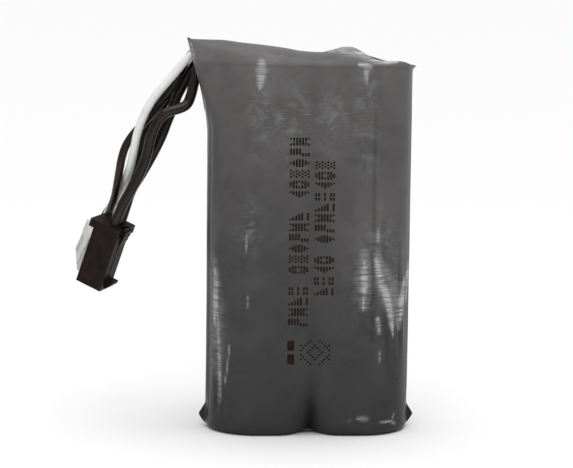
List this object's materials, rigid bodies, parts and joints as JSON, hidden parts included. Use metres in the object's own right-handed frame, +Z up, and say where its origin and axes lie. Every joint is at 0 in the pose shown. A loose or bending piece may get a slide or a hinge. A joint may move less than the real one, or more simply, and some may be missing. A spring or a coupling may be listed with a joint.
{
  "type": "battery pack",
  "caption": "Rechargeable battery pack: upright round cells side by side in a grey shrink film, with a protection board, soft leads, a latched discharge plug and a balance plug.",
  "frame": {"origin": "middle of the underside, half way between the two cell axes", "axes": "+X across the two cells, away from the leads; -Y out of the printed front; +Z up, from the underside to the film mouth"},
  "size_m": [0.0628, 0.0263, 0.0715],
  "materials": {
    "board_laminate": "solder mask over glass laminate",
    "cap_metal": "nickel-plated",
    "capacitor_body": "fired ceramic",
    "cell_roll": "wound foil, satin",
    "cell_sleeve": "thin shrunk sleeve",
    "cell_steel": "nickel-plated deep-drawn steel",
    "chip_black": "moulded epoxy",
    "contact_metal": "tinned phosphor bronze",
    "copper": "tinned stranded copper",
    "cover_card": "aramid paper",
    "gasket": "moulded polypropylene",
    "hot_melt": "set adhesive",
    "insulator_paper": "fish paper",
    "lead_dark": "soft lead insulation",
    "lead_light": "soft lead insulation",
    "nickel": "rolled nickel with weld marks",
    "pad_foam": "closed-cell foam",
    "plug_dark": "moulded nylon",
    "plug_light": "moulded nylon",
    "resistor_body": "thick film",
    "ring_paper": "matt fibre paper",
    "shrink_film": "glossy shrunk PVC film",
    "solder": "reflowed solder",
    "tinned_legs": "tinned",
    "vent_metal": "stamped"
  },
  "bodies": {
    "pack": {"balance_contacts": "contact_metal", "balance_housing": "plug_light", "balance_lead_dark": "lead_dark", "balance_lead_hidden": "lead_dark", "balance_lead_light": "lead_light", "board": "board_laminate", "board_cover": "cover_card", "board_pad": "pad_foam", "bottom_insulator": "insulator_paper", "capacitors": "capacitor_body", "discharge_contacts": "contact_metal", "discharge_housing": "plug_dark", "discharge_lead_back": "lead_dark", "discharge_lead_front": "lead_dark", "film_wrap": "shrink_film", "glue_beads": "hot_melt", "ic_legs": "tinned_legs", "lead_conductors": "copper", "left_can": "cell_steel", "left_cap": "cap_metal", "left_gasket": "gasket", "left_roll": "cell_roll", "left_sleeve": "cell_sleeve", "left_top_ring": "ring_paper", "left_vent_disc": "vent_metal", "mosfet_legs": "tinned_legs", "mosfets": "chip_black", "negative_strip": "nickel", "positive_strip": "nickel", "protection_ic": "chip_black", "resistors": "resistor_body", "right_can": "cell_steel", "right_cap": "cap_metal", "right_gasket": "gasket", "right_roll": "cell_roll", "right_sleeve": "cell_sleeve", "right_top_ring": "ring_paper", "right_vent_disc": "vent_metal", "series_strip": "nickel", "solder_joints": "solder", "tap_lead": "lead_dark"},
    "latch": {"plug_latch": "plug_dark"}
  },
  "joints": [
    {"name": "latch_rock", "type": "hinge", "parent": "pack", "child": "latch", "pos_m": [-0.03548, 0.00019, 0.03155], "axis": [0.4467, 0.8932, 0.0512], "range_deg": [-3.5, 3.5], "stiffness_Nm_per_rad": 0.05}
  ]
}
